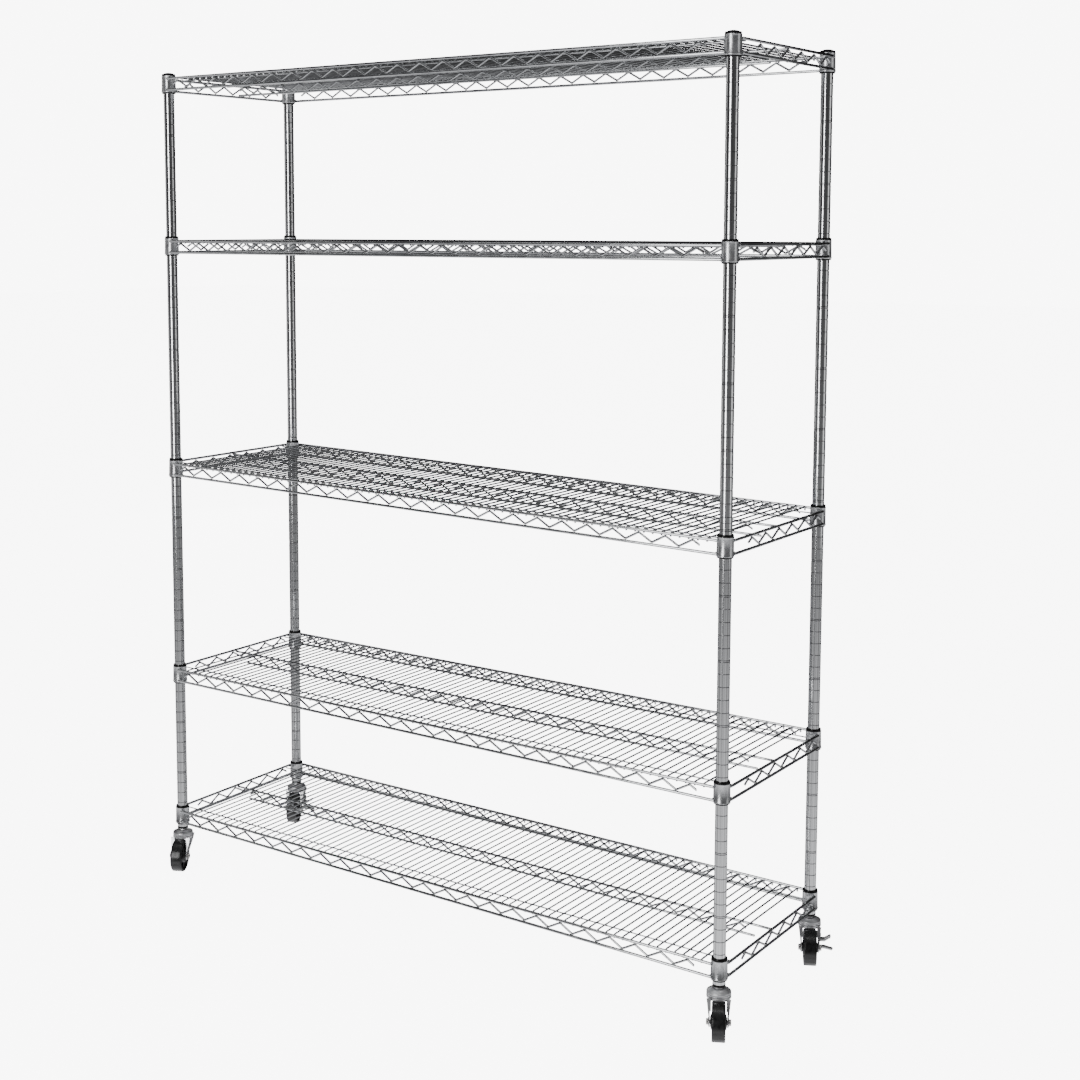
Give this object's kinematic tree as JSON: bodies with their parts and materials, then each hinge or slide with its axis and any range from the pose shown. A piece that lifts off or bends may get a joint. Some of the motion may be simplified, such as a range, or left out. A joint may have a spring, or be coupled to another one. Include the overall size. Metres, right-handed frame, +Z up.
{
  "type": "wire shelving rack on casters",
  "caption": "Tall chrome wire shelving rack: welded wire shelves on grooved tubular posts, standing on swivel casters with side brakes.",
  "frame": {"origin": "on the floor, under the centre of the bounding box", "axes": "+Z up, +X along the shelves, +Y from front to back"},
  "size_m": [1.5518, 0.508, 1.939],
  "materials": {
    "shelf_chrome": "bright chrome plate",
    "post_chrome": "bright chrome plate",
    "cap_plastic": "satin black plastic",
    "sleeve_plastic": "black plastic",
    "bushing_plastic": "black plastic",
    "wheel_rubber": "black hard rubber",
    "bolt_steel": "zinc plated",
    "brake_steel": "bright zinc plate",
    "caster_zinc": "bright zinc plate"
  },
  "bodies": {
    "posts": {"bushing_back_left": "bushing_plastic", "bushing_back_right": "bushing_plastic", "bushing_front_left": "bushing_plastic", "bushing_front_right": "bushing_plastic", "cap_back_left": "cap_plastic", "cap_back_right": "cap_plastic", "cap_front_left": "cap_plastic", "cap_front_right": "cap_plastic", "caster_stem_back_left": "caster_zinc", "caster_stem_back_right": "caster_zinc", "caster_stem_front_left": "caster_zinc", "caster_stem_front_right": "caster_zinc", "post_lower_back_left": "post_chrome", "post_lower_back_right": "post_chrome", "post_lower_front_left": "post_chrome", "post_lower_front_right": "post_chrome", "post_upper_back_left": "post_chrome", "post_upper_back_right": "post_chrome", "post_upper_front_left": "post_chrome", "post_upper_front_right": "post_chrome", "sleeve_1_back_left": "sleeve_plastic", "sleeve_1_back_right": "sleeve_plastic", "sleeve_1_front_left": "sleeve_plastic", "sleeve_1_front_right": "sleeve_plastic", "sleeve_2_back_left": "sleeve_plastic", "sleeve_2_back_right": "sleeve_plastic", "sleeve_2_front_left": "sleeve_plastic", "sleeve_2_front_right": "sleeve_plastic", "sleeve_3_back_left": "sleeve_plastic", "sleeve_3_back_right": "sleeve_plastic", "sleeve_3_front_left": "sleeve_plastic", "sleeve_3_front_right": "sleeve_plastic", "sleeve_4_back_left": "sleeve_plastic", "sleeve_4_back_right": "sleeve_plastic", "sleeve_4_front_left": "sleeve_plastic", "sleeve_4_front_right": "sleeve_plastic", "sleeve_5_back_left": "sleeve_plastic", "sleeve_5_back_right": "sleeve_plastic", "sleeve_5_front_left": "sleeve_plastic", "sleeve_5_front_right": "sleeve_plastic"},
    "shelf_1": {"shelf_1": "shelf_chrome"},
    "shelf_2": {"shelf_2": "shelf_chrome"},
    "shelf_3": {"shelf_3": "shelf_chrome"},
    "shelf_4": {"shelf_4": "shelf_chrome"},
    "shelf_5": {"shelf_5": "shelf_chrome"},
    "fork_front_left": {"caster_fork_front_left": "caster_zinc", "caster_axle_front_left": "bolt_steel"},
    "wheel_front_left": {"caster_wheel_front_left": "wheel_rubber"},
    "fork_front_right": {"caster_fork_front_right": "caster_zinc", "caster_axle_front_right": "bolt_steel"},
    "wheel_front_right": {"caster_wheel_front_right": "wheel_rubber"},
    "fork_back_left": {"caster_fork_back_left": "caster_zinc", "caster_axle_back_left": "bolt_steel"},
    "wheel_back_left": {"caster_wheel_back_left": "wheel_rubber"},
    "brake_back_left": {"caster_brake_back_left": "brake_steel"},
    "fork_back_right": {"caster_fork_back_right": "caster_zinc", "caster_axle_back_right": "bolt_steel"},
    "wheel_back_right": {"caster_wheel_back_right": "wheel_rubber"},
    "brake_back_right": {"caster_brake_back_right": "brake_steel"}
  },
  "joints": [
    {"name": "swivel_front_left", "type": "hinge", "parent": "posts", "child": "fork_front_left", "pos_m": [-0.75227, -0.1901, 0.081], "axis": [0, 0, 1], "continuous": true},
    {"name": "spin_front_left", "type": "hinge", "parent": "fork_front_left", "child": "wheel_front_left", "pos_m": [-0.73913, -0.21482, 0.038], "axis": [0.8829, 0.4695, 0], "continuous": true},
    {"name": "swivel_front_right", "type": "hinge", "parent": "posts", "child": "fork_front_right", "pos_m": [0.73173, -0.1901, 0.081], "axis": [0, 0, 1], "continuous": true},
    {"name": "spin_front_right", "type": "hinge", "parent": "fork_front_right", "child": "wheel_front_right", "pos_m": [0.74487, -0.21482, 0.038], "axis": [0.8829, 0.4695, 0], "continuous": true},
    {"name": "swivel_back_left", "type": "hinge", "parent": "posts", "child": "fork_back_left", "pos_m": [-0.75227, 0.2269, 0.081], "axis": [0, 0, 1], "continuous": true},
    {"name": "spin_back_left", "type": "hinge", "parent": "fork_back_left", "child": "wheel_back_left", "pos_m": [-0.73913, 0.20218, 0.038], "axis": [0.8829, 0.4695, 0], "continuous": true},
    {"name": "brake_back_left", "type": "hinge", "parent": "fork_back_left", "child": "brake_back_left", "pos_m": [-0.7457, 0.21454, 0.062], "axis": [-0.8829, -0.4695, 0], "range_deg": [0, 14]},
    {"name": "swivel_back_right", "type": "hinge", "parent": "posts", "child": "fork_back_right", "pos_m": [0.73173, 0.2269, 0.081], "axis": [0, 0, 1], "continuous": true},
    {"name": "spin_back_right", "type": "hinge", "parent": "fork_back_right", "child": "wheel_back_right", "pos_m": [0.74487, 0.20218, 0.038], "axis": [0.8829, 0.4695, 0], "continuous": true},
    {"name": "brake_back_right", "type": "hinge", "parent": "fork_back_right", "child": "brake_back_right", "pos_m": [0.7383, 0.21454, 0.062], "axis": [-0.8829, -0.4695, 0], "range_deg": [0, 14]},
    {"name": "lift_1", "type": "slide", "parent": "posts", "child": "shelf_1", "axis": [0, 0, 1], "range_m": [0, 0.05]},
    {"name": "lift_2", "type": "slide", "parent": "posts", "child": "shelf_2", "axis": [0, 0, 1], "range_m": [0, 0.05]},
    {"name": "lift_3", "type": "slide", "parent": "posts", "child": "shelf_3", "axis": [0, 0, 1], "range_m": [0, 0.05]},
    {"name": "lift_4", "type": "slide", "parent": "posts", "child": "shelf_4", "axis": [0, 0, 1], "range_m": [0, 0.05]},
    {"name": "lift_5", "type": "slide", "parent": "posts", "child": "shelf_5", "axis": [0, 0, 1], "range_m": [0, 0.05]}
  ]
}
